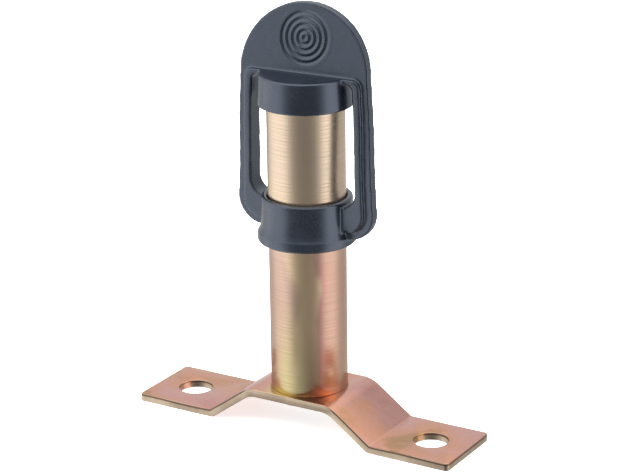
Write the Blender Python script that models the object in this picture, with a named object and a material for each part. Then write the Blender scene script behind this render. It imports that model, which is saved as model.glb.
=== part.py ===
"""Beacon mounting spigot: a bent steel strap carries an upright contact tube,
and a rubber cover (collar, two stretchy arms, cap and grip tab) keeps the tube shut.

Metres, +Z up. The origin is on the floor, on the tube's axis, between the two feet.
X runs along the strap, and the grip tab lies in the X-Z plane.
"""

import math

import bmesh
import bpy

MM = 0.001
GAP = 0.3                     # left between pieces that touch on the real object

# strap
STRAP_LENGTH = 112.0
STRAP_WIDTH = 27.0
STRAP_THICK = 2.5
STRAP_RISE = 12.6             # floor to the top of the raised seat
SEAT_HALF = 14.85             # half the seat's length, before its bends are rounded
SLOPE_FOOT = 28.9             # where the slope meets the foot, on the upper face
UPPER_BEND = 5.0              # centreline radii
LOWER_BEND = 2.4
STRAP_CORNER = 1.3
BOLT_PITCH = 86.2
BOLT_HOLE_R = 5.4
NECK_HOLE_R = 11.3

# tube
TUBE_R = 12.0
TUBE_BORE_R = 9.5
TUBE_TOP = 110.9
NECK_R = NECK_HOLE_R - GAP
NECK_STICKS_OUT = 0.6         # below the strap's underside
TUBE_CHAMFER = 0.6
WELD_LEG = 0.9
WELD_DEPTH = 0.7

# rubber cover: the loop is a flat plate with a thicker border round its window
COVER_BORE_R = 12.25
PLATE_HALF = 1.46             # half the plate's thickness
BORDER_HALF = 3.0
TAB_R = 21.4
TAB_CENTRE = 112.6
LOOP_LOW_HALF = 23.9          # half the loop's width at its lower corners
LOOP_LOW = 71.5
LOOP_CORNER_R = 8.5
BORDER_LOW_HALF = 21.1
BORDER_HIGH_HALF = 19.6
BORDER_TOP = 112.8
BORDER_CORNER_R = 6.0
BORDER_TOP_R = 2.6
WINDOW_LOW_HALF = 18.4
WINDOW_HIGH_HALF = 17.1
WINDOW_LOW = 78.4
WINDOW_TOP = 111.6
WINDOW_CORNER_R = 5.2
WINDOW_TOP_R = 2.2
ARM_BOTTOM = 79.3
ARM_TOP = 108.7
CAP_BOTTOM = 103.4
CAP_TOP = 113.0
CAP_R = 14.7
CAP_TOP_R = 14.15
CAP_ROOF = 111.2
COLLAR_BOTTOM = 60.5
COLLAR_TOP = 74.9
COLLAR_R = 14.1
COLLAR_LIP_R = 15.3
PLATE_JOIN_X = 12.7           # where the loop's lower bars end inside the collar's wall
BORDER_JOIN_X = 12.9

# contact insert, from the top of the tube down
HOUSING_TOP = 109.4
HOUSING_BOTTOM = 93.0
HOUSING_R = TUBE_BORE_R - GAP
HOUSING_WELL_R = 4.5
HOUSING_LIP = 1.6             # thickness over the well
HOUSING_MOUTH_R = 2.6
EARTH_SLOT_X = 5.9            # floor of the slot that the earth spring lies in
SLEEVE_R = HOUSING_WELL_R - GAP
SLEEVE_BORE_R = 3.5
SLEEVE_BOTTOM = 93.8
RIVET_R = 1.2                 # the sleeve's tail, closed over the live tag
RIVET_HEAD_R = 1.9
TAG_R = 3.4
BLADE_WIDTH = 6.3
BLADE_THICK = 0.8
BLADE_END = 82.0
CONTACT_STEM_R = 1.4
CONTACT_TIP_R = 2.2
CONTACT_FLANGE_R = 3.1
CONTACT_TIP_OUT = 1.1         # above the housing's top face
CONTACT_FLANGE_TOP = HOUSING_TOP - HOUSING_LIP - GAP
CONTACT_FLANGE_THICK = 1.2
CONTACT_STEM_BOTTOM = 99.6
SPRING_WIRE_R = 0.28
SPRING_COIL_R = 2.45
SPRING_TURNS = 5

# cable bush in the tube's lower end
BUSH_R = TUBE_BORE_R - GAP
BUSH_TOP = 15.0
BUSH_HOLE_R = 3.6

ROUND = 72                    # sides of the large round pieces
SMALL_ROUND = 32


def clear_scene():
    for old in list(bpy.data.objects):
        bpy.data.objects.remove(old, do_unlink=True)


def material(name, colour, roughness, metallic=0.0):
    made = bpy.data.materials.new(name)
    made.use_nodes = True
    shader = made.node_tree.nodes["Principled BSDF"]
    shader.inputs["Base Color"].default_value = (*colour, 1.0)
    shader.inputs["Roughness"].default_value = roughness
    shader.inputs["Metallic"].default_value = metallic
    return made


def make_object(name, bm, mat, origin=(0.0, 0.0, 0.0)):
    """Turn a bmesh in millimetres into an object in metres with its origin at origin."""
    for vert in bm.verts:
        vert.co = [(value - start) * MM for value, start in zip(vert.co, origin)]
    bmesh.ops.recalc_face_normals(bm, faces=bm.faces)
    mesh = bpy.data.meshes.new(name)
    bm.to_mesh(mesh)
    bm.free()
    mesh.materials.append(mat)
    mesh.shade_smooth()
    mesh.set_sharp_from_angle(angle=math.radians(35))
    made = bpy.data.objects.new(name, mesh)
    made.location = [value * MM for value in origin]
    bpy.context.scene.collection.objects.link(made)
    return made


def helper(obj):
    obj.hide_render = True
    obj.display_type = "WIRE"
    return obj


def boolean(target, tool, operation):
    step = target.modifiers.new(operation.lower(), "BOOLEAN")
    step.operation = operation
    step.solver = "EXACT"
    step.object = helper(tool)


def arc(centre, radius, start_deg, end_deg, steps):
    """Points on an arc, both ends included."""
    points = []
    for index in range(steps + 1):
        angle = math.radians(start_deg + (end_deg - start_deg) * index / steps)
        points.append((centre[0] + radius * math.cos(angle), centre[1] + radius * math.sin(angle)))
    return points


def turned(outline, sides):
    """A closed outline of (radius, height) points turned about Z; a zero radius makes a pole."""
    bm = bmesh.new()
    rings = []
    for radius, height in outline:
        if radius < 1e-9:
            rings.append([bm.verts.new((0.0, 0.0, height))])
            continue
        ring = []
        for index in range(sides):
            angle = 2.0 * math.pi * index / sides
            ring.append(bm.verts.new((radius * math.cos(angle), radius * math.sin(angle), height)))
        rings.append(ring)
    for low, high in zip(rings, rings[1:] + rings[:1]):
        if len(low) == 1 and len(high) == 1:
            continue
        for index in range(sides):
            after = (index + 1) % sides
            if len(low) == 1:
                bm.faces.new((low[0], high[index], high[after]))
            elif len(high) == 1:
                bm.faces.new((low[index], high[0], low[after]))
            else:
                bm.faces.new((low[index], high[index], high[after], low[after]))
    return bm


def extruded(outline, half_depth):
    """A closed outline of (x, z) points, drawn out along Y on both sides of the X-Z plane."""
    bm = bmesh.new()
    front = [bm.verts.new((x, -half_depth, z)) for x, z in outline]
    back = [bm.verts.new((x, half_depth, z)) for x, z in outline]
    bm.faces.new(front)
    bm.faces.new(back[::-1])
    count = len(outline)
    for index in range(count):
        after = (index + 1) % count
        bm.faces.new((front[index], back[index], back[after], front[after]))
    return bm


def mirrored(outline):
    return [(-x, z) for x, z in reversed(outline)]


def between(low, high, z):
    """Half width at height z on a straight side given by two (half width, height) points."""
    return low[0] + (high[0] - low[0]) * (z - low[1]) / (high[1] - low[1])


def plate_half(z):
    return between((LOOP_LOW_HALF, LOOP_LOW), (TAB_R, TAB_CENTRE), z)


def border_half(z):
    return between((BORDER_LOW_HALF, LOOP_LOW), (BORDER_HIGH_HALF, BORDER_TOP), z)


def window_half(z):
    return between((WINDOW_LOW_HALF, WINDOW_LOW), (WINDOW_HIGH_HALF, WINDOW_TOP), z)


# ---------------------------------------------------------------- metal frame


def rounded_path(corners, radii, steps=6):
    """A polyline whose inner corners are replaced by arcs; returns points with their normals."""
    path = []

    def add(point, along):
        path.append((point, (-along[1], along[0])))

    for index, point in enumerate(corners):
        if index in (0, len(corners) - 1):
            other = corners[1] if index == 0 else corners[-2]
            sign = 1.0 if index == 0 else -1.0
            run = (sign * (other[0] - point[0]), sign * (other[1] - point[1]))
            length = math.hypot(*run)
            add(point, (run[0] / length, run[1] / length))
            continue
        before, after = corners[index - 1], corners[index + 1]
        into = math.atan2(point[1] - before[1], point[0] - before[0])
        out = math.atan2(after[1] - point[1], after[0] - point[0])
        turn = out - into
        radius = radii[index - 1]
        reach = radius * math.tan(abs(turn) / 2.0)
        side = 1.0 if turn > 0 else -1.0
        start = (point[0] - reach * math.cos(into), point[1] - reach * math.sin(into))
        centre = (start[0] - side * radius * math.sin(into), start[1] + side * radius * math.cos(into))
        for step in range(steps + 1):
            angle = into + turn * step / steps
            across, up = side * radius * math.sin(angle), side * radius * math.cos(angle)
            where = (centre[0] + across, centre[1] - up)
            add(where, (math.cos(angle), math.sin(angle)))
    return path


def base_bracket(mat):
    half = STRAP_THICK / 2.0
    slope = math.atan2(STRAP_RISE - STRAP_THICK, SLOPE_FOOT - SEAT_HALF)
    shift = half * math.tan(slope / 2.0)
    seat = (SEAT_HALF - shift, STRAP_RISE - half)
    foot = (SLOPE_FOOT - shift, half)
    end = (STRAP_LENGTH / 2.0, half)
    right = [seat, foot, end]
    corners = mirrored(right) + right
    radii = [LOWER_BEND, UPPER_BEND, UPPER_BEND, LOWER_BEND]
    path = rounded_path(corners, radii)
    upper = [(p[0] + n[0] * half, p[1] + n[1] * half) for p, n in path]
    lower = [(p[0] - n[0] * half, p[1] - n[1] * half) for p, n in path]
    bm = extruded(upper + lower[::-1], STRAP_WIDTH / 2.0)
    ends = [
        edge for edge in bm.edges
        if all(abs(abs(v.co.x) - STRAP_LENGTH / 2.0) < 1e-4 for v in edge.verts)
        and abs(edge.verts[0].co.z - edge.verts[1].co.z) > half
    ]
    bmesh.ops.bevel(bm, geom=ends, offset=STRAP_CORNER, segments=4, profile=0.5, affect="EDGES")
    strap = make_object("base_bracket", bm, mat)
    bolt_x = BOLT_PITCH / 2.0
    holes = [("bolt_cutter_left", -bolt_x, BOLT_HOLE_R), ("bolt_cutter_right", bolt_x, BOLT_HOLE_R),
             ("neck_cutter", 0.0, NECK_HOLE_R)]
    for name, x, radius in holes:
        hole = turned([(0.0, -5.0), (radius, -5.0), (radius, 20.0), (0.0, 20.0)], 48)
        cutter = make_object(name, hole, mat)
        cutter.location.x = x * MM
        boolean(strap, cutter, "DIFFERENCE")
    return strap


def spigot_tube(mat):
    seat = STRAP_RISE + GAP
    neck_end = STRAP_RISE - STRAP_THICK - NECK_STICKS_OUT
    outline = [
        (TUBE_BORE_R, neck_end), (NECK_R, neck_end), (NECK_R, seat), (TUBE_R, seat),
        (TUBE_R, TUBE_TOP - TUBE_CHAMFER), (TUBE_R - TUBE_CHAMFER, TUBE_TOP),
        (TUBE_BORE_R + TUBE_CHAMFER, TUBE_TOP), (TUBE_BORE_R, TUBE_TOP - TUBE_CHAMFER),
    ]
    return make_object("spigot_tube", turned(outline, ROUND), mat)


def base_weld(mat):
    under = STRAP_RISE - STRAP_THICK - GAP
    inner = NECK_R + GAP
    outline = [(inner, under), (inner, under - WELD_DEPTH)]
    outline.append((inner + 0.4 * WELD_LEG, under - 0.9 * WELD_DEPTH))
    outline.append((inner + 0.8 * WELD_LEG, under - 0.45 * WELD_DEPTH))
    outline.append((inner + WELD_LEG, under))
    return make_object("base_weld", turned(outline, 48), mat)


def cable_bush(mat):
    low = STRAP_RISE - STRAP_THICK - NECK_STICKS_OUT
    outline = [(BUSH_HOLE_R, low), (BUSH_R - 0.4, low), (BUSH_R, low + 0.4), (BUSH_R, BUSH_TOP - 0.4)]
    outline += [(BUSH_R - 0.4, BUSH_TOP), (BUSH_HOLE_R, BUSH_TOP)]
    return make_object("cable_bush", turned(outline, 48), mat)


# ---------------------------------------------------------------- contact insert


def contact_housing(mat):
    lip = HOUSING_TOP - HOUSING_LIP
    outline = [
        (HOUSING_WELL_R, HOUSING_BOTTOM), (HOUSING_R, HOUSING_BOTTOM), (HOUSING_R, HOUSING_TOP - 0.5),
        (HOUSING_R - 0.5, HOUSING_TOP), (HOUSING_MOUTH_R, HOUSING_TOP), (HOUSING_MOUTH_R, lip),
        (HOUSING_WELL_R, lip),
    ]
    housing = make_object("contact_housing", turned(outline, 48), mat)
    # a slot down one side leaves room for the earth spring
    slot = box((EARTH_SLOT_X, -3.5, HOUSING_BOTTOM - 2.0), (HOUSING_R + 1.0, 3.5, HOUSING_TOP - 2.4))
    boolean(housing, make_object("earth_slot_cutter", slot, mat), "DIFFERENCE")
    return housing


def box(low, high, low_taper=1.0):
    """A block between two corners; low_taper narrows its lower end along Y."""
    bm = bmesh.new()
    bmesh.ops.create_cube(bm, size=1.0)
    for vert in bm.verts:
        share = [value + 0.5 for value in vert.co]
        x, y, z = [a + (b - a) * s for a, b, s in zip(low, high, share)]
        vert.co = (x, y * (low_taper if share[2] < 0.5 else 1.0), z)
    return bm


def contact_sleeve(mat):
    """The brass cup that holds the spring; its tail is closed over the live tag like a rivet."""
    top = HOUSING_TOP - HOUSING_LIP - GAP
    floor = SLEEVE_BOTTOM + 1.0
    tail = SLEEVE_BOTTOM - 2.0 * GAP - BLADE_THICK
    outline = [
        (0.0, tail - 0.8), (RIVET_HEAD_R - 0.4, tail - 0.8), (RIVET_HEAD_R, tail - 0.4),
        (RIVET_HEAD_R, tail), (RIVET_R, tail), (RIVET_R, SLEEVE_BOTTOM), (SLEEVE_R, SLEEVE_BOTTOM),
        (SLEEVE_R, top), (SLEEVE_BORE_R, top), (SLEEVE_BORE_R, floor), (0.0, floor),
    ]
    return make_object("contact_sleeve", turned(outline, SMALL_ROUND), mat)


def live_terminal(mat):
    """A ring tag under the sleeve, bent down into a push-on blade."""
    top = SLEEVE_BOTTOM - GAP
    low = top - BLADE_THICK
    ring = [(RIVET_R + GAP, low), (TAG_R, low), (TAG_R, top), (RIVET_R + GAP, top)]
    tag = make_object("live_terminal", turned(ring, SMALL_ROUND), mat)
    bend = box((-TAG_R, -2.4, low - 0.5), (-TAG_R + BLADE_THICK, 2.4, top))
    half = BLADE_WIDTH / 2.0
    blade = box((-TAG_R, -half, BLADE_END), (-TAG_R + BLADE_THICK, half, low - 0.1), low_taper=0.72)
    boolean(tag, make_object("tag_bend_guide", bend, mat), "UNION")
    boolean(tag, make_object("live_blade_guide", blade, mat), "UNION")
    return tag


def centre_contact(mat):
    """The sprung contact: a domed tip, a flange kept in by the housing's lip, and a stem."""
    flange_low = CONTACT_FLANGE_TOP - CONTACT_FLANGE_THICK
    tip = HOUSING_TOP + CONTACT_TIP_OUT
    outline = [
        (0.0, CONTACT_STEM_BOTTOM), (CONTACT_STEM_R, CONTACT_STEM_BOTTOM), (CONTACT_STEM_R, flange_low),
        (CONTACT_FLANGE_R, flange_low), (CONTACT_FLANGE_R, CONTACT_FLANGE_TOP),
        (CONTACT_TIP_R, CONTACT_FLANGE_TOP),
    ]
    dome = 0.9
    steps = 5
    for index in range(steps + 1):
        angle = math.radians(90.0 * index / steps)
        outline.append((CONTACT_TIP_R * math.cos(angle), tip - dome + dome * math.sin(angle)))
    outline[-1] = (0.0, tip)
    origin = (0.0, 0.0, CONTACT_FLANGE_TOP)
    return make_object("centre_contact", turned(outline, SMALL_ROUND), mat, origin=origin)


def contact_spring(mat):
    """A round-wire coil between the sleeve's floor and the contact's flange."""
    low = SLEEVE_BOTTOM + 1.0 + GAP + SPRING_WIRE_R
    high = CONTACT_FLANGE_TOP - CONTACT_FLANGE_THICK - GAP - SPRING_WIRE_R
    around, section = 14, 6
    rings = []
    bm = bmesh.new()
    steps = SPRING_TURNS * around
    for index in range(steps + 1):
        share = index / steps
        angle = 2.0 * math.pi * SPRING_TURNS * share
        outward = (math.cos(angle), math.sin(angle))
        height = low + (high - low) * share
        ring = []
        for corner in range(section):
            turn = 2.0 * math.pi * corner / section
            radius = SPRING_COIL_R + SPRING_WIRE_R * math.cos(turn)
            ring.append(bm.verts.new((radius * outward[0], radius * outward[1],
                                      height + SPRING_WIRE_R * math.sin(turn))))
        rings.append(ring)
    for before, after in zip(rings, rings[1:]):
        for corner in range(section):
            following = (corner + 1) % section
            bm.faces.new((before[corner], before[following], after[following], after[corner]))
    bm.faces.new(rings[0][::-1])
    bm.faces.new(rings[-1])
    return make_object("contact_spring", bm, mat)


def earth_contact(mat):
    """A springy strip: its bowed leaf faces the tube's bore, and its tail is the earth blade."""
    thick = 0.5
    line = [(6.6, BLADE_END), (6.6, 91.6), (7.4, 93.6), (8.5, 97.2)]
    line += [(8.8, 99.6), (8.5, 102.0), (7.5, 105.4)]
    path = rounded_path(line, [2.0] * 5, steps=2)
    outer = [(p[0] + n[0] * thick / 2, p[1] + n[1] * thick / 2) for p, n in path]
    inner = [(p[0] - n[0] * thick / 2, p[1] - n[1] * thick / 2) for p, n in path]
    return make_object("earth_contact", extruded(outer + inner[::-1], 2.5), mat)


# ---------------------------------------------------------------- rubber cover


def lower_corner(half_of, corner_half, corner_r, inner_x):
    """One lower corner of the loop, from the collar round to the arm's lower end."""
    centre_x = corner_half - corner_r
    points = [(inner_x, LOOP_LOW - corner_r)]
    points += arc((centre_x, LOOP_LOW), corner_r, -90.0, 0.0, 10)
    points.append((half_of(ARM_BOTTOM - GAP), ARM_BOTTOM - GAP))
    points.append((window_half(ARM_BOTTOM - GAP), ARM_BOTTOM - GAP))
    window_x = WINDOW_LOW_HALF - WINDOW_CORNER_R
    points += arc((window_x, WINDOW_LOW), WINDOW_CORNER_R, 0.0, -90.0, 8)
    points.append((inner_x, WINDOW_LOW - WINDOW_CORNER_R))
    return points


def cover_collar(mat):
    outline = [
        (COVER_BORE_R, COLLAR_BOTTOM), (COLLAR_LIP_R - 0.5, COLLAR_BOTTOM),
        (COLLAR_LIP_R, COLLAR_BOTTOM + 0.6), (COLLAR_LIP_R, COLLAR_BOTTOM + 2.4),
        (COLLAR_R + 0.25, COLLAR_BOTTOM + 4.8), (COLLAR_R, COLLAR_TOP - 0.9),
        (COLLAR_R - 0.3, COLLAR_TOP - 0.25), (COLLAR_R - 0.8, COLLAR_TOP),
        (COVER_BORE_R + 0.3, COLLAR_TOP), (COVER_BORE_R, COLLAR_TOP - 0.4),
    ]
    collar = make_object("cover_collar", turned(outline, ROUND), mat)
    plate_corner = lower_corner(plate_half, LOOP_LOW_HALF, LOOP_CORNER_R, PLATE_JOIN_X)
    border_corner = lower_corner(border_half, BORDER_LOW_HALF, BORDER_CORNER_R, BORDER_JOIN_X)
    parts = [("plate", PLATE_HALF, plate_corner), ("border", BORDER_HALF, border_corner)]
    for name, half_depth, points in parts:
        for side, shape in (("right", points), ("left", mirrored(points))):
            guide = make_object(f"collar_{name}_{side}_guide", extruded(shape, half_depth), mat)
            boolean(collar, guide, "UNION")
    return collar


def cover_arm(name, side, mat):
    """One straight arm: a flat outer flange and the thicker border beside the window."""
    bm = bmesh.new()
    ends = []
    for z in (ARM_BOTTOM, ARM_TOP):
        outer, step, inner = plate_half(z), border_half(z), window_half(z)
        section = [(inner, -BORDER_HALF), (step, -BORDER_HALF), (step, -PLATE_HALF), (outer, -PLATE_HALF),
                   (outer, PLATE_HALF), (step, PLATE_HALF), (step, BORDER_HALF), (inner, BORDER_HALF)]
        ends.append([bm.verts.new((side * x, y, z)) for x, y in section])
    count = len(ends[0])
    for index in range(count):
        after = (index + 1) % count
        bm.faces.new((ends[0][index], ends[0][after], ends[1][after], ends[1][index]))
    bm.faces.new(ends[0][::-1])
    bm.faces.new(ends[1])
    return make_object(name, bm, mat)


def head_outline(half_of, top_points):
    """The loop above the arms: the outside from right to left, then back along the window's top."""
    low = ARM_TOP + GAP
    outside = [(half_of(low), low)] + top_points + [(-half_of(low), low)]
    corner = (window_half(WINDOW_TOP) - WINDOW_TOP_R, WINDOW_TOP - WINDOW_TOP_R)
    window_right = arc(corner, WINDOW_TOP_R, 90.0, 0.0, 4) + [(window_half(low), low)]
    window_left = mirrored(window_right)
    return outside + window_left + window_right


def cover_head(mat):
    """Cap and grip tab in one moulding, joined by the top of the loop."""
    outline = [
        (0.0, CAP_ROOF), (COVER_BORE_R, CAP_ROOF), (COVER_BORE_R, CAP_BOTTOM + 0.5),
        (COVER_BORE_R + 0.4, CAP_BOTTOM), (CAP_R - 0.5, CAP_BOTTOM), (CAP_R, CAP_BOTTOM + 0.6),
        (CAP_TOP_R, CAP_TOP - 0.9), (CAP_TOP_R - 0.25, CAP_TOP - 0.3), (CAP_TOP_R - 0.9, CAP_TOP),
        (0.0, CAP_TOP),
    ]
    head = make_object("cover_head", turned(outline, ROUND), mat)
    tab = head_outline(plate_half, arc((0.0, TAB_CENTRE), TAB_R, 0.0, 180.0, 40))
    border_corner = (border_half(BORDER_TOP) - BORDER_TOP_R, BORDER_TOP - BORDER_TOP_R)
    top = arc(border_corner, BORDER_TOP_R, 0.0, 90.0, 4)
    border = head_outline(border_half, top + mirrored(top))
    boolean(head, make_object("tab_guide", extruded(tab, PLATE_HALF), mat), "UNION")
    boolean(head, make_object("top_bar_guide", extruded(border, BORDER_HALF), mat), "UNION")
    return head


def main():
    clear_scene()
    chromate = material("chromate_steel", (0.62, 0.44, 0.34), 0.32, 1.0)
    weld = material("weld_metal", (0.42, 0.33, 0.27), 0.55, 1.0)
    rubber = material("black_rubber", (0.035, 0.042, 0.052), 0.55)
    nylon = material("black_nylon", (0.03, 0.03, 0.032), 0.45)
    brass = material("brass", (0.78, 0.57, 0.25), 0.25, 1.0)
    spring_steel = material("spring_steel", (0.55, 0.55, 0.56), 0.3, 1.0)

    base_bracket(chromate)
    spigot_tube(chromate)
    base_weld(weld)
    cable_bush(rubber)
    contact_housing(nylon)
    contact_sleeve(brass)
    live_terminal(brass)
    centre_contact(brass)
    contact_spring(spring_steel)
    earth_contact(brass)
    cover_collar(rubber)
    cover_arm("cover_arm_right", 1.0, rubber)
    cover_arm("cover_arm_left", -1.0, rubber)
    cover_head(rubber)


main()
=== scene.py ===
import math

import bmesh
import bpy
from mathutils import Matrix, Vector


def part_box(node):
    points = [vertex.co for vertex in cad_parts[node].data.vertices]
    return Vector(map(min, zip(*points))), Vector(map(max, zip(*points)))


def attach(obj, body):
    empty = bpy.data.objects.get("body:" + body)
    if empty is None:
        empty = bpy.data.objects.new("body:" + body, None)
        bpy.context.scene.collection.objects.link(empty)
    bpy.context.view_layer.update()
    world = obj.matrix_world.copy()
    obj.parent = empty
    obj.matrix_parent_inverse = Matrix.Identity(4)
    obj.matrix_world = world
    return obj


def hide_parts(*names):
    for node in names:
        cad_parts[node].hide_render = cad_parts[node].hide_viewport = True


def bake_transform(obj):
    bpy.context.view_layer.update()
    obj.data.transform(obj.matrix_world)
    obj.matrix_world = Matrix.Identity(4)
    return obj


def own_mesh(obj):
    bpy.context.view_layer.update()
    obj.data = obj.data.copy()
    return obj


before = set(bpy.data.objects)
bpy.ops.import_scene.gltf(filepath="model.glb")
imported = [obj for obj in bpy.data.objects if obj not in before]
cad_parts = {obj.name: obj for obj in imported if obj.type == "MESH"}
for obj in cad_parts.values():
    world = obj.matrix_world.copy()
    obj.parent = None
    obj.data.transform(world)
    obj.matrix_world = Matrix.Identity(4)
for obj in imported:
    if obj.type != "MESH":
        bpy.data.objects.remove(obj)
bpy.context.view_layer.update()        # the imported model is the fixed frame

mm = 0.001
scene = bpy.context.scene
print("frame loaded:", len(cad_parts), "CAD nodes")


# helpers: nodes, materials, meshes

def addNode(tree, kind, inputs=None, **settings):
    node = tree.nodes.new(kind)
    for key, value in settings.items():
        setattr(node, key, value)
    for key, value in (inputs or {}).items():
        if isinstance(value, bpy.types.NodeSocket):
            tree.links.new(value, node.inputs[key])
        else:
            node.inputs[key].default_value = value
    return node


def newMaterial(name, metallic, roughness):
    material = bpy.data.materials.new(name)
    material.use_nodes = True
    tree = material.node_tree
    shader = tree.nodes["Principled BSDF"]
    shader.inputs["Metallic"].default_value = metallic
    shader.inputs["Roughness"].default_value = roughness
    place = addNode(tree, "ShaderNodeTexCoord").outputs["Object"]
    return material, tree, shader, place


def stretched(tree, place, scale):
    return addNode(tree, "ShaderNodeMapping", {"Vector": place, "Scale": scale}).outputs["Vector"]


def noise(tree, place, scale, detail=3.0, roughness=0.5, distortion=0.0):
    return addNode(tree, "ShaderNodeTexNoise", {
        "Vector": place, "Scale": scale, "Detail": detail,
        "Roughness": roughness, "Distortion": distortion,
    }).outputs["Fac"]


def ramp(tree, factor, stops, interpolation="EASE"):
    # stops are (position, colour) or (position, grey level)
    node = addNode(tree, "ShaderNodeValToRGB", {"Fac": factor})
    node.color_ramp.interpolation = interpolation
    elements = node.color_ramp.elements
    while len(elements) < len(stops):
        elements.new(0.5)
    for element, (position, colour) in zip(elements, stops):
        shade = colour if isinstance(colour, tuple) else (colour,) * 3
        element.position = position
        element.color = (*shade, 1.0)
    return node.outputs["Color"]


def mapRange(tree, value, low, high, toLow, toHigh):
    return addNode(tree, "ShaderNodeMapRange", {
        "Value": value, "From Min": low, "From Max": high, "To Min": toLow, "To Max": toHigh,
    }).outputs["Result"]


def mathNode(tree, operation, first, second=0.0):
    node = addNode(tree, "ShaderNodeMath", operation=operation)
    for index, value in enumerate((first, second)):
        if isinstance(value, bpy.types.NodeSocket):
            tree.links.new(value, node.inputs[index])
        else:
            node.inputs[index].default_value = value
    return node.outputs["Value"]


def mixColour(tree, factor, first, second, blend="MIX"):
    node = addNode(tree, "ShaderNodeMix", data_type="RGBA", blend_type=blend)
    for index, value in ((0, factor), (6, first), (7, second)):
        if isinstance(value, bpy.types.NodeSocket):
            tree.links.new(value, node.inputs[index])
        elif index == 0:
            node.inputs[index].default_value = value
        else:
            node.inputs[index].default_value = (*value, 1.0)
    return node.outputs[2]


def bump(tree, shader, height, strength, distance, before=None):
    inputs = {"Height": height, "Strength": strength, "Distance": distance}
    if before is not None:
        inputs["Normal"] = before
    normal = addNode(tree, "ShaderNodeBump", inputs).outputs["Normal"]
    tree.links.new(normal, shader.inputs["Normal"])
    return normal


def objectFrom(name, bm):
    # sizes in the pieces' dictionaries are in millimetres, so the mesh is made metres here
    bmesh.ops.scale(bm, vec=(mm, mm, mm), verts=bm.verts)
    bmesh.ops.recalc_face_normals(bm, faces=bm.faces)
    mesh = bpy.data.meshes.new(name)
    bm.to_mesh(mesh)
    bm.free()
    made = bpy.data.objects.new(name, mesh)
    scene.collection.objects.link(made)
    return made


def smoothShade(obj, degrees):
    obj.data.shade_smooth()
    obj.data.set_sharp_from_angle(angle=math.radians(degrees))


def bakeModifiers(obj):
    graph = bpy.context.evaluated_depsgraph_get()
    mesh = bpy.data.meshes.new_from_object(obj.evaluated_get(graph))
    obj.modifiers.clear()
    obj.data = mesh
    return obj


def arc(centre, radius, startDeg, endDeg, steps):
    points = []
    for index in range(steps + 1):
        angle = math.radians(startDeg + (endDeg - startDeg) * index / steps)
        points.append((centre[0] + radius * math.cos(angle), centre[1] + radius * math.sin(angle)))
    return points


def turned(outline, sides):
    # a closed outline of (radius, height) turned about Z
    bm = bmesh.new()
    rings = []
    for radius, height in outline:
        if radius < 1e-6:
            rings.append([bm.verts.new((0.0, 0.0, height))])
            continue
        spokes = [2.0 * math.pi * index / sides for index in range(sides)]
        places = [(radius * math.cos(angle), radius * math.sin(angle), height) for angle in spokes]
        rings.append([bm.verts.new(place) for place in places])
    for low, high in zip(rings, rings[1:] + rings[:1]):
        for index in range(sides):
            after = (index + 1) % sides
            corners = [ring[step % len(ring)] for ring, step in (
                (low, index), (high, index), (high, after), (low, after))]
            corners = list(dict.fromkeys(corners))
            if len(corners) > 2:
                bm.faces.new(corners)
    return bm


def extruded(outline, halfDepth):
    # a closed outline of (x, z) drawn out along Y
    bm = bmesh.new()
    front = [bm.verts.new((x, -halfDepth, z)) for x, z in outline]
    back = [bm.verts.new((x, halfDepth, z)) for x, z in outline]
    bm.faces.new(front)
    bm.faces.new(back[::-1])
    for index in range(len(outline)):
        after = (index + 1) % len(outline)
        bm.faces.new((front[index], back[index], back[after], front[after]))
    return bm


def mirrored(outline):
    return [(-x, z) for x, z in reversed(outline)]


def combine(target, tool, operation):
    step = target.modifiers.new(operation, "BOOLEAN")
    step.operation = operation
    step.solver = "EXACT"
    step.object = tool
    bakeModifiers(target)
    bpy.data.objects.remove(tool, do_unlink=True)


def growTree(name, sockets):
    # an empty geometry tree with named number inputs
    tree = bpy.data.node_groups.new(name, "GeometryNodeTree")
    for label, kind in sockets.items():
        tree.interface.new_socket(label, in_out="INPUT", socket_type=kind)
    tree.interface.new_socket("Geometry", in_out="OUTPUT", socket_type="NodeSocketGeometry")
    return tree, tree.nodes.new("NodeGroupInput").outputs


def moved(tree, geometry, **change):
    # a Transform node; the change is its Translation, Rotation or Scale
    return addNode(tree, "GeometryNodeTransform", {"Geometry": geometry, **change}).outputs[0]


def growMesh(name, tree, geometry, values, material):
    # ends the tree, in metres, runs it on an empty mesh and keeps the result as a plain mesh
    scaled = moved(tree, geometry, Scale=(mm, mm, mm))
    real = addNode(tree, "GeometryNodeRealizeInstances", {"Geometry": scaled}).outputs[0]
    dressed = addNode(tree, "GeometryNodeSetMaterial", {"Geometry": real, "Material": material})
    addNode(tree, "NodeGroupOutput", {"Geometry": dressed.outputs[0]})
    made = bpy.data.objects.new(name, bpy.data.meshes.new(name))
    scene.collection.objects.link(made)
    step = made.modifiers.new("grow", "NODES")
    step.node_group = tree
    for item in tree.interface.items_tree:
        if item.in_out == "INPUT":
            step[item.identifier] = values[item.name]
    bakeModifiers(made)
    made.data.name = name
    return made


# camera and light

cameraSet = {
    "azimuth": 31.19, "elevation": 19.06, "roll": -0.78,   # degrees
    "distance": 0.7086, "aim": (0.0030, 0.0, 0.0614), "lens": 132.05,
}


def towards(azimuth, elevation):
    # the direction from the object to a camera or lamp, from angles in degrees
    turn, rise = math.radians(azimuth), math.radians(elevation)
    level = math.cos(rise)
    return Vector((math.sin(turn) * level, -math.cos(turn) * level, math.sin(rise)))


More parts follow.
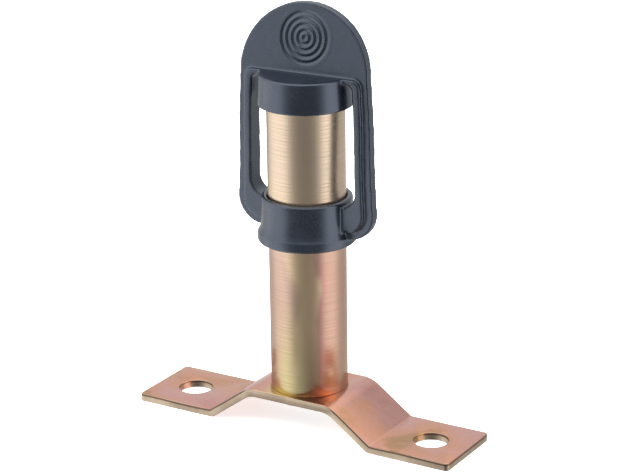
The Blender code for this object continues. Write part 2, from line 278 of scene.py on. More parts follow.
def placeCamera():
    turn, roll = math.radians(cameraSet["azimuth"]), math.radians(cameraSet["roll"])
    back = towards(cameraSet["azimuth"], cameraSet["elevation"])
    side = Vector((math.cos(turn), math.sin(turn), 0.0))
    up = back.cross(side)
    right = side * math.cos(roll) + up * math.sin(roll)
    top = up * math.cos(roll) - side * math.sin(roll)
    camera = bpy.data.objects.new("camera", bpy.data.cameras.new("camera"))
    camera.data.lens = cameraSet["lens"]
    camera.data.sensor_width = 36.0
    camera.data.clip_start = 0.01
    place = Vector(cameraSet["aim"]) + back * cameraSet["distance"]
    axes = Matrix((right, top, back)).transposed().to_4x4()
    camera.matrix_world = Matrix.Translation(place) @ axes
    scene.collection.objects.link(camera)
    scene.camera = camera


# azimuth 0 stands in front of the strap (-Y) and 90 stands at its right end (+X)
lightSet = {
    "leftBox": {"direction": (-55.0, 25.0), "distance": 0.9, "size": (0.6, 0.8), "power": 6.0},
    "rightBox": {"direction": (100.0, 25.0), "distance": 0.9, "size": (0.3, 0.8), "power": 3.0},
    "topBox": {"direction": (30.0, 86.0), "distance": 1.2, "size": (1.6, 1.6), "power": 26.0},
}


def placeLights():
    # the boxes light the floor and matt surfaces; what the metal mirrors is painted in the world
    for name, box in lightSet.items():
        data = bpy.data.lights.new(name, "AREA")
        data.shape = "RECTANGLE"
        data.size, data.size_y = box["size"]
        data.energy = box["power"]
        away = towards(*box["direction"])
        lamp = bpy.data.objects.new(name, data)
        lamp.location = Vector((0.0, 0.0, 0.06)) + away * box["distance"]
        lamp.rotation_euler = away.to_track_quat("Z", "Y").to_euler()
        lamp.visible_glossy = False
        scene.collection.objects.link(lamp)


# brightness of the room's wall by degrees from the camera, the ceiling's, the sine of the elevation
# where the wall turns into the ceiling, and what the camera sees behind the object
worldSet = {
    "wall": [
        (-180, 0.92), (-150, 0.80), (-128, 0.85), (-114, 1.45), (-62, 1.45), (-50, 0.60),
        (-40, 0.30), (-12, 0.23), (22, 0.23), (33, 0.28), (43, 0.80), (52, 1.60), (86, 1.45),
        (102, 0.62), (132, 0.60), (155, 0.80), (180, 0.92),
    ],
    "ceiling": 1.6, "ceilingFrom": (0.50, 0.85), "seen": 1.0,
}


def lightWorld():
    # two tall soft boxes on a dark room wall in front, and a white wall behind
    world = bpy.data.worlds.new("studio")
    scene.world = world
    world.use_nodes = True
    tree = world.node_tree
    tree.nodes.clear()
    direction = addNode(tree, "ShaderNodeTexCoord").outputs["Generated"]
    facing = cameraSet["azimuth"]
    ahead, across = (
        addNode(tree, "ShaderNodeVectorMath", {
            0: direction, 1: towards(azimuth, 0.0),
        }, operation="DOT_PRODUCT").outputs["Value"]
        for azimuth in (facing, facing + 90.0)
    )
    around = mathNode(tree, "ARCTAN2", across, ahead)
    share = mapRange(tree, around, -math.pi, math.pi, 0.0, 1.0)
    # a ramp holds no more than 1, so the levels are halved in it and doubled in the strength
    stops = [((angle + 180.0) / 360.0, level / 2.0) for angle, level in worldSet["wall"]]
    wall = ramp(tree, share, stops, "LINEAR")
    height = addNode(tree, "ShaderNodeSeparateXYZ", {"Vector": direction}).outputs["Z"]
    upward = mapRange(tree, height, *worldSet["ceilingFrom"], 0.0, 1.0)
    tone = mixColour(tree, upward, wall, (worldSet["ceiling"] / 2.0,) * 3)
    room = addNode(tree, "ShaderNodeBackground", {"Color": tone, "Strength": 2.0})
    seen = addNode(tree, "ShaderNodeBackground", {
        "Color": (1.0, 1.0, 1.0, 1.0), "Strength": worldSet["seen"],
    })
    rays = addNode(tree, "ShaderNodeLightPath").outputs["Is Camera Ray"]
    mixed = addNode(tree, "ShaderNodeMixShader", {0: rays, 1: room.outputs[0], 2: seen.outputs[0]})
    addNode(tree, "ShaderNodeOutputWorld", {"Surface": mixed.outputs[0]})
    scene.view_settings.view_transform = "Standard"


floorSet = {"size": 6.0, "colour": (0.90, 0.90, 0.90), "glow": 0.65}


def placeFloor():
    half = floorSet["size"] / 2.0
    mesh = bpy.data.meshes.new("floor")
    corners = [(-half, -half, 0), (half, -half, 0), (half, half, 0), (-half, half, 0)]
    mesh.from_pydata(corners, [], [(0, 1, 2, 3)])
    floor = bpy.data.objects.new("floor", mesh)
    scene.collection.objects.link(floor)
    material, tree, shader, place = newMaterial("paleFloor", 0.0, 0.9)
    shader.inputs["Base Color"].default_value = (*floorSet["colour"], 1.0)
    # a faint glow, as on a light table, keeps the shadows soft
    shader.inputs["Emission Color"].default_value = (1.0, 1.0, 1.0, 1.0)
    shader.inputs["Emission Strength"].default_value = floorSet["glow"]
    mesh.materials.append(material)
    floor.visible_glossy = False


placeCamera()
placeLights()
lightWorld()
placeFloor()
print("camera, lights and floor placed")


# metal finishes

strapFinish = {
    "pink": (0.60, 0.32, 0.28), "salmon": (0.61, 0.31, 0.21), "olive": (0.44, 0.24, 0.12),
    "rose": (0.53, 0.26, 0.24), "speck": (0.40, 0.24, 0.17),
    "patchSize": 42.0, "speckSize": 1500.0, "speckShare": 0.14,
    "roughness": (0.19, 0.31), "grain": 0.08, "waves": 0.12,
    # a painted reflection of the tube's bright and dark bands on the strap, in front of the tube's
    # foot, in metres: across the strap, how far out from the tube's axis it fades, and how far to
    # the front it begins
    "tubeReflectionAcross": (-0.012, 0.020), "tubeReflectionOut": (0.0135, 0.0170), "tubeReflectionFront": (-0.0070, -0.0035),
    "tubeReflectionShare": 0.9,
    # the painted reflection's tints across the strap: the tube's bright, dark and orange bands
    "footTints": [
        (0.00, (0.58, 0.31, 0.25)), (0.22, (0.74, 0.62, 0.25)), (0.36, (0.66, 0.50, 0.24)),
        (0.50, (0.24, 0.13, 0.09)), (0.64, (0.30, 0.14, 0.09)), (0.76, (0.94, 0.38, 0.15)),
        (0.86, (0.74, 0.35, 0.20)), (1.00, (0.58, 0.31, 0.25)),
    ],
}


def chromatePlate():
    # yellow chromate over zinc: a thin film whose tint drifts from rose to olive
    material, tree, shader, place = newMaterial("chromatePlate", 1.0, 0.36)
    patches = noise(tree, place, strapFinish["patchSize"], 4.0, 0.55, 0.6)
    tint = ramp(tree, patches, [
        (0.30, strapFinish["rose"]), (0.44, strapFinish["pink"]),
        (0.56, strapFinish["salmon"]), (0.70, strapFinish["olive"]),
    ])
    specks = noise(tree, place, strapFinish["speckSize"], 2.0)
    share = mapRange(tree, specks, 0.35, 0.65, 0.0, strapFinish["speckShare"])
    tint = mixColour(tree, share, tint, strapFinish["speck"])

    # painted reflection of the tube, laid on the strap just in front of its foot
    axes = addNode(tree, "ShaderNodeSeparateXYZ", {"Vector": place}).outputs
    squares = [mathNode(tree, "POWER", axes[name], 2.0) for name in ("X", "Y")]
    out = mathNode(tree, "SQRT", mathNode(tree, "ADD", *squares))
    near = mapRange(tree, out, *strapFinish["tubeReflectionOut"], strapFinish["tubeReflectionShare"], 0.0)
    front = mapRange(tree, axes["Y"], *strapFinish["tubeReflectionFront"], 1.0, 0.0)
    across = mapRange(tree, axes["X"], *strapFinish["tubeReflectionAcross"], 0.0, 1.0)
    foot = ramp(tree, across, strapFinish["footTints"])
    tint = mixColour(tree, mathNode(tree, "MULTIPLY", near, front), tint, foot)
    tree.links.new(tint, shader.inputs["Base Color"])

    rolled = noise(tree, stretched(tree, place, (60.0, 900.0, 900.0)), 1.0, 3.0)
    rough = mapRange(tree, rolled, 0.3, 0.7, *strapFinish["roughness"])
    tree.links.new(rough, shader.inputs["Roughness"])
    first = bump(tree, shader, rolled, strapFinish["grain"], 0.0001)
    bump(tree, shader, noise(tree, place, 130.0, 2.0), strapFinish["waves"], 0.0006, first)
    return material


edgeFinish = {
    # dark is the painted shade tint, for the line under the upper edge and the seat's shade
    "dull": (0.40, 0.31, 0.23), "pale": (0.56, 0.45, 0.33), "dark": (0.13, 0.08, 0.06),
    "roughness": (0.34, 0.50), "tears": 0.18, "seatFade": (0.0135, 0.0160), "unevenness": 0.07,
    # share of the dark painted-shade tint by depth below the strap's upper face, as a part of its
    # thickness
    "paintedShadeLine": [(0.02, 0.0), (0.08, 0.9), (0.22, 0.9), (0.34, 0.0)],
    "seatShade": [(0.30, 0.0), (0.55, 0.35), (0.95, 0.6)],
}


def shearedEdge():
    # the strap's cut edges: paler, with the tear lines of the shear across them
    material, tree, shader, place = newMaterial("shearedEdge", 1.0, 0.42)
    cloudy = noise(tree, place, 70.0, 3.0)
    tint = ramp(tree, cloudy, [(0.35, edgeFinish["dull"]), (0.65, edgeFinish["pale"])])

    # painted shade: a dark line painted under the upper edge of the feet and slopes
    axes = addNode(tree, "ShaderNodeSeparateXYZ", {"Vector": place}).outputs
    along = mathNode(tree, "ABSOLUTE", axes["X"])
    seat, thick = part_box("base_bracket")[1].z, strap["thick"] * mm
    top = mapRange(tree, along, strap["seatHalf"] * mm, strap["slopeFoot"] * mm, seat, thick)
    below = mathNode(tree, "DIVIDE", mathNode(tree, "SUBTRACT", top, axes["Z"]), thick)
    uneven = edgeFinish["unevenness"]
    below = mathNode(tree, "ADD", below, mapRange(tree, cloudy, 0.3, 0.7, -uneven, uneven))
    line, shade = (ramp(tree, below, edgeFinish[name]) for name in ("paintedShadeLine", "seatShade"))
    onSeat = mapRange(tree, along, *edgeFinish["seatFade"], 1.0, 0.0)
    tint = mixColour(tree, mixColour(tree, onSeat, line, shade), tint, edgeFinish["dark"])
    tree.links.new(tint, shader.inputs["Base Color"])

    tears = noise(tree, stretched(tree, place, (1400.0, 1400.0, 120.0)), 1.0, 3.0)
    rough = mapRange(tree, tears, 0.3, 0.7, *edgeFinish["roughness"])
    tree.links.new(rough, shader.inputs["Roughness"])
    bump(tree, shader, tears, edgeFinish["tears"], 0.0001)
    return material


tubeFinish = {
    "lines": 1900.0, "lineTint": (0.34, 0.25, 0.18), "lineShare": 0.22, "lineDepth": 0.07,
    "roughness": (0.20, 0.27), "anisotropy": 0.95, "patchSize": 30.0,
    # heights in metres over which the foot's tints turn into the lower and these into the upper
    "footRise": (0.012, 0.034), "upperRise": (0.055, 0.085),
    # how far the noise carries the tints round the tube, in radians, and up it, in metres
    "driftRound": 0.3, "driftUp": 0.012,
    # round the tube from the back, by the left, the front and the right, to the back again
    "lowerTints": [
        (0.00, (0.58, 0.40, 0.30)), (0.36, (0.54, 0.36, 0.28)), (0.47, (0.60, 0.42, 0.33)),
        (0.54, (0.92, 0.69, 0.44)), (0.60, (0.92, 0.66, 0.44)), (0.64, (0.66, 0.36, 0.30)),
        (0.68, (0.58, 0.36, 0.27)), (0.75, (0.60, 0.38, 0.29)), (0.84, (0.56, 0.37, 0.29)),
        (1.00, (0.58, 0.40, 0.30)),
    ],
    "footTints": [
        (0.00, (0.58, 0.42, 0.28)), (0.36, (0.52, 0.36, 0.24)), (0.47, (0.60, 0.50, 0.26)),
        (0.54, (0.88, 0.73, 0.40)), (0.60, (0.62, 0.41, 0.26)), (0.65, (0.72, 0.35, 0.25)),
        (0.72, (0.64, 0.42, 0.27)), (1.00, (0.58, 0.42, 0.28)),
    ],
    "upperTints": [(0.71, 0.56, 0.45), (0.78, 0.62, 0.44)],
}


def turnedTube():
    # the same plating on a turned tube: fine lines run round it, and the tint drifts round it too
    material, tree, shader, place = newMaterial("turnedTube", 1.0, 0.3)
    shader.inputs["Anisotropic"].default_value = tubeFinish["anisotropy"]
    axes = addNode(tree, "ShaderNodeSeparateXYZ", {"Vector": place}).outputs
    turn = mathNode(tree, "ARCTAN2", axes["X"], mathNode(tree, "MULTIPLY", axes["Y"], -1.0))
    drift = noise(tree, place, tubeFinish["patchSize"], 3.0, 0.5, 0.4)
    aside, upward = (
        mapRange(tree, drift, 0.3, 0.7, -tubeFinish[name], tubeFinish[name])
        for name in ("driftRound", "driftUp")
    )
    share = mapRange(tree, mathNode(tree, "ADD", turn, aside), -math.pi, math.pi, 0.0, 1.0)
    rise = mathNode(tree, "ADD", axes["Z"], upward)
    foot = ramp(tree, share, tubeFinish["footTints"])
    lower = ramp(tree, share, tubeFinish["lowerTints"])
    upper = mixColour(tree, mapRange(tree, drift, 0.35, 0.65, 0.0, 1.0), *tubeFinish["upperTints"])
    lower = mixColour(tree, mapRange(tree, rise, *tubeFinish["footRise"], 0.0, 1.0), foot, lower)
    tint = mixColour(tree, mapRange(tree, rise, *tubeFinish["upperRise"], 0.0, 1.0), lower, upper)

    lines = noise(tree, stretched(tree, place, (5.0, 5.0, tubeFinish["lines"])), 1.0, 2.0, 0.5)
    dark = mapRange(tree, lines, 0.35, 0.7, 0.0, tubeFinish["lineShare"])
    tree.links.new(mixColour(tree, dark, tint, tubeFinish["lineTint"]), shader.inputs["Base Color"])
    rough = mapRange(tree, lines, 0.3, 0.7, *tubeFinish["roughness"])
    tree.links.new(rough, shader.inputs["Roughness"])
    tangent = addNode(tree, "ShaderNodeTangent", direction_type="RADIAL", axis="Z").outputs[0]
    tree.links.new(tangent, shader.inputs["Tangent"])
    bump(tree, shader, lines, tubeFinish["lineDepth"], 0.0001)
    return material


def plainMetal(name, dark, light, roughness, grainScale):
    material, tree, shader, place = newMaterial(name, 1.0, roughness)
    grain = noise(tree, stretched(tree, place, grainScale), 1.0, 3.0)
    tree.links.new(ramp(tree, grain, [(0.3, dark), (0.7, light)]), shader.inputs["Base Color"])
    rough = mapRange(tree, grain, 0.3, 0.7, roughness - 0.06, roughness + 0.08)
    tree.links.new(rough, shader.inputs["Roughness"])
    bump(tree, shader, grain, 0.15, 0.0001)
    return material


# rubber and plastic

rubberFinish = {
    "colour": (0.0025, 0.0035, 0.007), "bloom": (0.006, 0.008, 0.015), "roughness": (0.22, 0.32),
    "ior": 1.6, "shineTint": (0.72, 0.83, 1.0, 1.0),
}


def mouldedRubber(name, colour, bloom, roughness):
    material, tree, shader, place = newMaterial(name, 0.0, 0.45)
    shader.inputs["IOR"].default_value = rubberFinish["ior"]
    shader.inputs["Specular IOR Level"].default_value = 1.0
    shader.inputs["Specular Tint"].default_value = rubberFinish["shineTint"]
    cloudy = noise(tree, place, 120.0, 4.0, 0.6)
    skin = noise(tree, place, 2600.0, 2.0)
    tint = mixColour(tree, mapRange(tree, cloudy, 0.35, 0.7, 0.0, 0.8), colour, bloom)
    tree.links.new(tint, shader.inputs["Base Color"])
    tree.links.new(mapRange(tree, cloudy, 0.3, 0.7, *roughness), shader.inputs["Roughness"])
    first = bump(tree, shader, skin, 0.06, 0.00008)
    bump(tree, shader, cloudy, 0.10, 0.0005, first)
    return material


tubeMetal = turnedTube()
rubber = mouldedRubber(
    "coverRubber", rubberFinish["colour"], rubberFinish["bloom"], rubberFinish["roughness"])
bushRubber = mouldedRubber("bushRubber", (0.016, 0.016, 0.017), (0.03, 0.03, 0.03), (0.5, 0.65))
plastic = mouldedRubber("housingPlastic", (0.02, 0.02, 0.021), (0.03, 0.03, 0.032), (0.32, 0.42))
weldMetal = plainMetal("weldMetal", (0.26, 0.19, 0.14), (0.44, 0.33, 0.24), 0.42, (300.0,) * 3)
brass = plainMetal(
    "contactBrass", (0.73, 0.54, 0.25), (0.81, 0.62, 0.30), 0.22, (240.0, 240.0, 3200.0))
springSteel = plainMetal("springSteel", (0.48, 0.48, 0.50), (0.62, 0.62, 0.64), 0.28, (400.0,) * 3)
print("materials made")


# strap bracket

strap = {
    "thick": 2.5, "seatHalf": 14.85, "slopeFoot": 28.9, "upperBend": 8.0, "lowerBend": 2.0,
    "corner": 1.4, "boltPitch": 86.2, "boltRadius": 5.4, "neckRadius": 11.3, "edgeRound": 0.35,
    "bendSteps": 12,
}
chromate = chromatePlate()
sheared = shearedEdge()


def bentPath(corners, radii, steps):
    # a polyline with its inner corners rounded, as points with their upward normals
    path = [(corners[0], (0.0, 1.0))]
    for before, point, after, radius in zip(corners, corners[1:], corners[2:], radii):
        into = math.atan2(point[1] - before[1], point[0] - before[0])
        out = math.atan2(after[1] - point[1], after[0] - point[0])
        reach = radius * math.tan(abs(out - into) / 2.0)
        side = 1.0 if out > into else -1.0
        start = (point[0] - reach * math.cos(into), point[1] - reach * math.sin(into))
        bend = side * radius
        centre = (start[0] - bend * math.sin(into), start[1] + bend * math.cos(into))
        for step in range(steps + 1):
            angle = into + (out - into) * step / steps
            across, up = math.sin(angle), math.cos(angle)
            place = (centre[0] + bend * across, centre[1] - bend * up)
            path.append((place, (-across, up)))
    path.append((corners[-1], (0.0, 1.0)))
    return path


def makeStrap():
    low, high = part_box("base_bracket")
    halfLong, halfWide, rise = high.x / mm, high.y / mm, high.z / mm
    half = strap["thick"] / 2.0
    slope = math.atan2(rise - strap["thick"], strap["slopeFoot"] - strap["seatHalf"])
    shift = half * math.tan(slope / 2.0)
    seatEnd, slopeEnd = strap["seatHalf"] - shift, strap["slopeFoot"] - shift
    right = [(seatEnd, rise - half), (slopeEnd, half), (halfLong, half)]
    radii = [strap["lowerBend"], strap["upperBend"], strap["upperBend"], strap["lowerBend"]]
    path = bentPath(mirrored(right) + right, radii, strap["bendSteps"])
    upper = [(p[0] + n[0] * half, p[1] + n[1] * half) for p, n in path]
    lower = [(p[0] - n[0] * half, p[1] - n[1] * half) for p, n in path]
    bm = extruded(upper + lower[::-1], halfWide)
    ends = [
        edge for edge in bm.edges
        if all(abs(abs(v.co.x) - halfLong) < 1e-3 for v in edge.verts)
        and abs(edge.verts[0].co.z - edge.verts[1].co.z) > half
    ]
    bmesh.ops.bevel(bm, geom=ends, offset=strap["corner"], segments=8, profile=0.5, affect="EDGES")
    made = objectFrom("strapBracket", bm)
    halfPitch, bolt = strap["boltPitch"] / 2.0, strap["boltRadius"]
    for x, radius in ((-halfPitch, bolt), (halfPitch, bolt), (0.0, strap["neckRadius"])):
        shaft = [(0.0, -5.0), (radius, -5.0), (radius, 20.0), (0.0, 20.0)]
        drill = objectFrom("drill", turned(shaft, 128))
        drill.location.x = x * mm
        combine(made, drill, "DIFFERENCE")
    soften = made.modifiers.new("edges", "BEVEL")
    soften.width = strap["edgeRound"] * mm
    soften.segments = 3
    soften.limit_method = "ANGLE"
    soften.angle_limit = math.radians(50.0)
    soften.harden_normals = False
    bakeModifiers(made)
    smoothShade(made, 40.0)
    made.data.materials.clear()
    made.data.materials.append(chromate)
    made.data.materials.append(sheared)
    for face in made.data.polygons:
        # the cut faces: the long sides, the two ends and the hole walls that face along Y
        end = abs(face.normal.x) > 0.8 and abs(face.center.x) > 0.9 * high.x
        face.material_index = 1 if abs(face.normal.y) > 0.6 or end else 0
    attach(made, "mount")
    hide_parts("base_bracket")
    return made


makeStrap()
print("strap made")


# tube

tube = {"bore": 9.5, "neck": 11.0, "topRound": 0.7, "footRound": 0.15, "sides": 256}


def makeTube():
    low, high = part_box("spigot_tube")
    radius, bottom, top = high.x / mm, low.z / mm, high.z / mm
    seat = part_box("base_bracket")[1].z / mm
    bore, edge, foot = tube["bore"], tube["topRound"], tube["footRound"]
    outline = [(bore, bottom), (tube["neck"], bottom), (tube["neck"], seat)]
    outline += arc((radius - foot, seat + foot), foot, -90.0, 0.0, 4)
    outline += arc((radius - edge, top - edge), edge, 0.0, 90.0, 8)
    outline += arc((bore + edge, top - edge), edge, 90.0, 180.0, 8)
    made = objectFrom("spigotTube", turned(outline, tube["sides"]))
    smoothShade(made, 35.0)
    made.data.materials.append(tubeMetal)
    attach(made, "mount")
    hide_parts("spigot_tube")
    return made


makeTube()
print("tube made")


# rubber cover: collar, arms, cap and tab are one moulding that stretches from collar to head

cover = {
    "bore": 12.06, "plateHalf": 1.46, "borderHalf": 3.0, "borderRound": 0.8,
    "tabRadius": 21.6, "tabCentre": 112.7,
    "lowHalf": 23.9, "lowZ": 71.5, "lowCorner": 8.5,
    "borderLowHalf": 21.1, "borderLowCorner": 6.0,
    "borderHighHalf": 19.5, "borderTop": 113.0, "borderTopCorner": 2.6,
    "windowLowHalf": 18.4, "windowLow": 78.4, "windowLowCorner": 5.2,
    "windowHighHalf": 17.0, "windowTop": 111.6, "windowTopCorner": 2.2,
    "collarTop": 74.9, "sleeve": 14.1, "capTop": 113.0, "capTopRadius": 14.15,
    "voxel": 0.35, "smoothing": 3, "stretchFrom": 76.0, "stretchTo": 103.0,
    # how the soft rubber sits, in degrees
    "lean": 8.5, "twist": 3.0, "twistFrom": 79.0, "twistTo": 103.0,
}
grip = {
    "centre": 123.7, "recess": 8.65, "recessDepth": 0.5, "rim": 9.5,
    "pitch": 1.86, "firstGroove": 2.0, "depth": 0.34,
    "proud": 0.025, "tuck": 0.42,   # how far the face stands out of the tab, and its rim goes in
    "spokes": 144, "steps": 130,
}


def settle(mesh):
    # the tab leans back from the cap's top, and the head sits turned a little against the collar
    lean, twist = math.radians(cover["lean"]), math.radians(cover["twist"])
    twistSpan = cover["twistTo"] - cover["twistFrom"]
    for vertex in mesh.vertices:
        x, y, z = vertex.co / mm
        rise = z - cover["capTop"]
        if rise > 0.0:
            bend = rise + math.exp(-rise) - 1.0
            y, z = y + bend * math.sin(lean), z - bend * (1.0 - math.cos(lean))
        share = min(max((z - cover["twistFrom"]) / twistSpan, 0.0), 1.0)
        angle = twist * share * share * (3.0 - 2.0 * share)
        across, along = math.cos(angle), math.sin(angle)
        vertex.co = Vector((x * across - y * along, x * along + y * across, z)) * mm


def loopOutline(lowHalf, corner, topPoints):
    # right half from the bottom up, then its mirror image
    right = arc((lowHalf - corner, cover["lowZ"]), corner, -90.0, 0.0, 16) + topPoints
    return right + mirrored(right)


def windowOutline():
    corner, topCorner = cover["windowLowCorner"], cover["windowTopCorner"]
    right = arc((cover["windowLowHalf"] - corner, cover["windowLow"]), corner, -90.0, 0.0, 12)
    topCentre = (cover["windowHighHalf"] - topCorner, cover["windowTop"] - topCorner)
    right += arc(topCentre, topCorner, 0.0, 90.0, 8)
    return right + mirrored(right)


def makeCover():
    collarBox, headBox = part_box("cover_collar"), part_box("cover_head")
    collarLow, lip = collarBox[0].z / mm, collarBox[1].y / mm
    capLow, capRadius = headBox[0].z / mm, headBox[1].y / mm
    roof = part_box("spigot_tube")[1].z / mm + 0.15
    bore = cover["bore"]

    plateTop = arc((0.0, cover["tabCentre"]), cover["tabRadius"], 0.0, 90.0, 32)
    plate = objectFrom("coverPlate", extruded(
        loopOutline(cover["lowHalf"], cover["lowCorner"], plateTop), cover["plateHalf"]))
    edge = cover["borderTopCorner"]
    borderTop = arc((cover["borderHighHalf"] - edge, cover["borderTop"] - edge), edge, 0.0, 90.0, 8)
    borderLoop = loopOutline(cover["borderLowHalf"], cover["borderLowCorner"], borderTop)
    border = objectFrom("coverBorder", extruded(borderLoop, cover["borderHalf"]))
    for part in (plate, border):
        combine(part, objectFrom("window", extruded(windowOutline(), 8.0)), "DIFFERENCE")
        ream = [(0.0, 40.0), (bore, 40.0), (bore, 90.0), (0.0, 90.0)]
        combine(part, objectFrom("ream", turned(ream, 128)), "DIFFERENCE")
    rounding = border.modifiers.new("rounding", "BEVEL")
    rounding.width = cover["borderRound"] * mm
    rounding.segments = 4
    rounding.limit_method = "ANGLE"
    rounding.angle_limit = math.radians(60.0)
    bakeModifiers(border)
    for side in (-1.0, 1.0):
        reach = cover["plateHalf"] - grip["recessDepth"]
        pocket = grip["recess"]
        disc = turned([(0.0, reach), (pocket, reach), (pocket, 4.0), (0.0, 4.0)], 96)
        sideways = Matrix.Rotation(math.radians(90.0) * side, 3, "X")
        bmesh.ops.rotate(disc, matrix=sideways, verts=disc.verts)
        bmesh.ops.translate(disc, vec=(0.0, 0.0, grip["centre"]), verts=disc.verts)
        combine(plate, objectFrom("recess", disc), "DIFFERENCE")

    top, sleeve = cover["collarTop"], cover["sleeve"]
    collarOutline = [(bore, collarLow)]
    collarOutline += arc((lip - 0.7, collarLow + 0.7), 0.7, -90.0, 0.0, 5)
    collarOutline += arc((lip - 1.0, collarLow + 2.6), 1.0, 0.0, 50.0, 5)
    collarOutline += [(sleeve + 0.22, collarLow + 4.9), (sleeve + 0.05, collarLow + 6.3)]
    collarOutline += arc((sleeve - 0.9, top - 0.9), 0.9, 0.0, 90.0, 5)
    collarOutline += [(bore + 0.5, top), (bore, top - 0.6)]
    collar = objectFrom("collarRing", turned(collarOutline, 160))

    capTop, capTopRadius = cover["capTop"], cover["capTopRadius"]
    capOutline = [(0.0, roof), (bore, roof), (bore, capLow + 0.4), (bore + 0.4, capLow)]
    capOutline += arc((capRadius - 0.4, capLow + 0.4), 0.4, -90.0, 0.0, 4)
    capOutline += arc((capTopRadius - 0.7, capTop - 0.7), 0.7, 0.0, 90.0, 6)
    capOutline += [(0.0, capTop)]
    cap = objectFrom("capShell", turned(capOutline, 160))

    bm = bmesh.new()
    for part in (plate, border, collar, cap):
        bm.from_mesh(part.data)
        bpy.data.objects.remove(part, do_unlink=True)
    mesh = bpy.data.meshes.new("rubberCover")
    bm.to_mesh(mesh)
    bm.free()
    made = bpy.data.objects.new("rubberCover", mesh)
    scene.collection.objects.link(made)
    skin = made.modifiers.new("skin", "REMESH")
    skin.mode = "VOXEL"
    skin.voxel_size = cover["voxel"] * mm
    soften = made.modifiers.new("soften", "SMOOTH")
    soften.factor = 0.5
    soften.iterations = cover["smoothing"]
    bakeModifiers(made)
    settle(made.data)
    made.data.shade_smooth()
    made.data.materials.clear()
    made.data.materials.append(rubber)
    print("cover faces", len(made.data.polygons))
    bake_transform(made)
    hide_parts("cover_collar", "cover_arm_left", "cover_arm_right", "cover_head")
    return made


makeCover()
print("cover made")


# grip rings, set in the tab's two faces

def makeGripRings():
    tree, given = growTree("gripRings", dict.fromkeys(
        ("Radius", "First Groove", "Pitch", "Depth", "Rim", "Face", "Centre"), "NodeSocketFloat"))
    # a unit grid, wrapped round: its X is the way out from the centre and its Y the turn
    grid = addNode(tree, "GeometryNodeMeshGrid", {
        "Size X": 1.0, "Size Y": 1.0, "Vertices X": grip["steps"], "Vertices Y": grip["spokes"] + 1,
    })
    position = addNode(tree, "GeometryNodeInputPosition").outputs[0]
    where = addNode(tree, "ShaderNodeSeparateXYZ", {"Vector": position}).outputs
    out = mathNode(tree, "ADD", where["X"], 0.5)
    reach = mathNode(tree, "MULTIPLY", out, given["Rim"])
    angle = mathNode(tree, "MULTIPLY", where["Y"], -2.0 * math.pi)
    across, up = (
        mathNode(tree, "MULTIPLY", reach, mathNode(tree, name, angle))
        for name in ("COSINE", "SINE")
    )

    phase = mathNode(tree, "SUBTRACT", reach, given["First Groove"])
    phase = mathNode(tree, "DIVIDE", phase, given["Pitch"])
    wave = mathNode(tree, "COSINE", mathNode(tree, "MULTIPLY", phase, 2.0 * math.pi))
    halfDepth = mathNode(tree, "MULTIPLY", given["Depth"], 0.5)
    groove = mathNode(tree, "MULTIPLY", mathNode(tree, "ADD", wave, 1.0), halfDepth)
    ringed = mathNode(tree, "LESS_THAN", reach, given["Radius"])
    sunk = mathNode(tree, "SUBTRACT", mathNode(tree, "MULTIPLY", groove, ringed), grip["proud"])
    rim = mathNode(tree, "GREATER_THAN", out, 0.995)
    sunk = mathNode(tree, "ADD", sunk, mathNode(tree, "MULTIPLY", rim, grip["tuck"]))

    shaped = addNode(tree, "ShaderNodeCombineXYZ", {
        "X": across, "Y": mathNode(tree, "SUBTRACT", sunk, given["Face"]),
        "Z": mathNode(tree, "ADD", up, given["Centre"]),
    })
    face = addNode(tree, "GeometryNodeSetPosition", {
        "Geometry": grid.outputs["Mesh"], "Position": shaped.outputs[0],
    })
    faced = addNode(tree, "GeometryNodeFlipFaces", {"Mesh": face.outputs[0]})
    # a plain disc inside the tab closes each ring face into a solid
    disc = addNode(tree, "GeometryNodeMeshCircle", {
        "Vertices": grip["spokes"], "Radius": given["Rim"],
    }, fill_type="NGON")
    depth = mathNode(tree, "SUBTRACT", grip["tuck"] - grip["proud"], given["Face"])
    inside = addNode(tree, "ShaderNodeCombineXYZ", {"Y": depth, "Z": given["Centre"]})
    upright = (-math.pi / 2.0, 0.0, 0.0)
    base = moved(tree, disc.outputs["Mesh"], Translation=inside.outputs[0], Rotation=upright)
    closed = addNode(tree, "GeometryNodeJoinGeometry")
    tree.links.new(faced.outputs[0], closed.inputs[0])
    tree.links.new(base, closed.inputs[0])
    welded = addNode(tree, "GeometryNodeMergeByDistance", {
        "Geometry": closed.outputs[0], "Distance": 0.0005,
    }).outputs[0]

    back = moved(tree, welded, Scale=(1.0, -1.0, 1.0))
    turnedOut = addNode(tree, "GeometryNodeFlipFaces", {"Mesh": back})
    both = addNode(tree, "GeometryNodeJoinGeometry")
    tree.links.new(welded, both.inputs[0])
    tree.links.new(turnedOut.outputs[0], both.inputs[0])
    made = growMesh("gripRings", tree, both.outputs[0], {
        "Radius": grip["recess"], "First Groove": grip["firstGroove"], "Pitch": grip["pitch"],
        "Depth": grip["depth"], "Rim": grip["rim"],
        "Face": cover["plateHalf"], "Centre": grip["centre"],
    }, rubber)
    settle(made.data)
    made.data.shade_smooth()
    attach(made, "head")
    return made


makeGripRings()
print("grip rings made")


# weld bead under the seat, laid ripple on ripple

weld = {
    "ripples": 104, "size": 0.72, "squeeze": (1.0, 0.95, 1.05),
    "least": 0.92, "most": 1.04, "seed": 4,
}


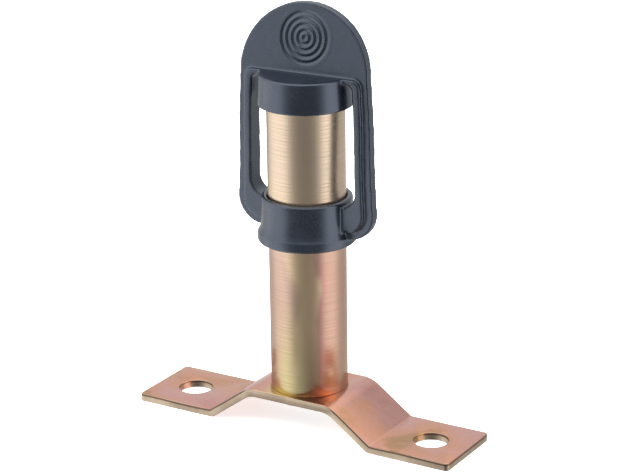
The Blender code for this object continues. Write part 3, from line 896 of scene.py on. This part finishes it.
def makeWeld():
    low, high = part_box("base_weld")
    ring = high.x / mm - weld["size"]
    height = high.z / mm + 0.05
    tree, given = growTree("weldBead", {
        "Ripples": "NodeSocketInt", "Ring Radius": "NodeSocketFloat", "Size": "NodeSocketFloat",
        "Height": "NodeSocketFloat", "Seed": "NodeSocketInt",
    })
    circle = addNode(tree, "GeometryNodeCurvePrimitiveCircle", {"Radius": given["Ring Radius"]})
    points = addNode(tree, "GeometryNodeCurveToPoints", {
        "Curve": circle.outputs["Curve"], "Count": given["Ripples"],
    }).outputs
    ripple = addNode(tree, "GeometryNodeMeshUVSphere", {
        "Segments": 24, "Rings": 14, "Radius": given["Size"],
    })
    vary = addNode(tree, "FunctionNodeRandomValue", {
        2: weld["least"], 3: weld["most"], "Seed": given["Seed"],
    }, data_type="FLOAT")
    placed = addNode(tree, "GeometryNodeInstanceOnPoints", {
        "Points": points["Points"], "Rotation": points["Rotation"], "Scale": vary.outputs[1],
        "Instance": moved(tree, ripple.outputs["Mesh"], Scale=weld["squeeze"]),
    })
    lift = addNode(tree, "ShaderNodeCombineXYZ", {"Z": given["Height"]})
    raised = moved(tree, placed.outputs[0], Translation=lift.outputs[0])
    made = growMesh("weldBead", tree, raised, {
        "Ripples": weld["ripples"], "Ring Radius": ring, "Size": weld["size"],
        "Height": height, "Seed": weld["seed"],
    }, weldMetal)
    made.data.shade_smooth()
    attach(made, "mount")
    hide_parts("base_weld")
    return made


makeWeld()
print("weld made")


# cable bush in the tube's lower end

bush = {"hole": 3.6, "round": 0.5}


def makeBush():
    low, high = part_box("cable_bush")
    bottom, top = low.z / mm, high.z / mm
    shank = tube["bore"] - 0.1
    hole, edge = bush["hole"], bush["round"]
    outline = arc((hole + edge, bottom + edge), edge, 180.0, 270.0, 5)
    outline += arc((shank - edge, bottom + edge), edge, -90.0, 0.0, 5)
    outline += arc((shank - edge, top - edge), edge, 0.0, 90.0, 5)
    outline += arc((hole + edge, top - edge), edge, 90.0, 180.0, 5)
    made = objectFrom("cableBush", turned(outline, 96))
    smoothShade(made, 40.0)
    made.data.materials.append(bushRubber)
    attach(made, "mount")
    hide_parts("cable_bush")
    return made


makeBush()
print("bush made")


# contact spring

spring = {"turns": 5.5, "wire": 0.28, "coil": 2.45, "travel": 2.0}


def makeSpring():
    low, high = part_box("contact_spring")
    bottom, top = low.z / mm + spring["wire"], high.z / mm - spring["wire"]
    tree, given = growTree("coilSpring", dict.fromkeys(
        ("Turns", "Coil Radius", "Wire Radius", "Bottom", "Height"), "NodeSocketFloat"))
    coil = addNode(tree, "GeometryNodeCurveSpiral", {
        "Resolution": 48, "Rotations": given["Turns"], "Start Radius": given["Coil Radius"],
        "End Radius": given["Coil Radius"], "Height": given["Height"],
    })
    profile = addNode(tree, "GeometryNodeCurvePrimitiveCircle", {
        "Resolution": 16, "Radius": given["Wire Radius"],
    })
    wire = addNode(tree, "GeometryNodeCurveToMesh", {
        "Curve": coil.outputs["Curve"], "Profile Curve": profile.outputs["Curve"],
        "Fill Caps": True,
    })
    lift = addNode(tree, "ShaderNodeCombineXYZ", {"Z": given["Bottom"]})
    raised = moved(tree, wire.outputs[0], Translation=lift.outputs[0])
    made = growMesh("coilSpring", tree, raised, {
        "Turns": spring["turns"], "Coil Radius": spring["coil"], "Wire Radius": spring["wire"],
        "Bottom": bottom, "Height": top - bottom,
    }, springSteel)
    made.data.shade_smooth()
    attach(made, "mount")
    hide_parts("contact_spring")
    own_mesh(made)
    return made


makeSpring()
print("spring made")

carried = {
    "contact_housing": plastic, "contact_sleeve": brass,
    "live_terminal": brass, "centre_contact": brass, "earth_contact": brass,
}
for nodeName, finish in carried.items():
    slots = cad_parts[nodeName].material_slots
    for index in range(len(slots)):
        slots[index].material = finish
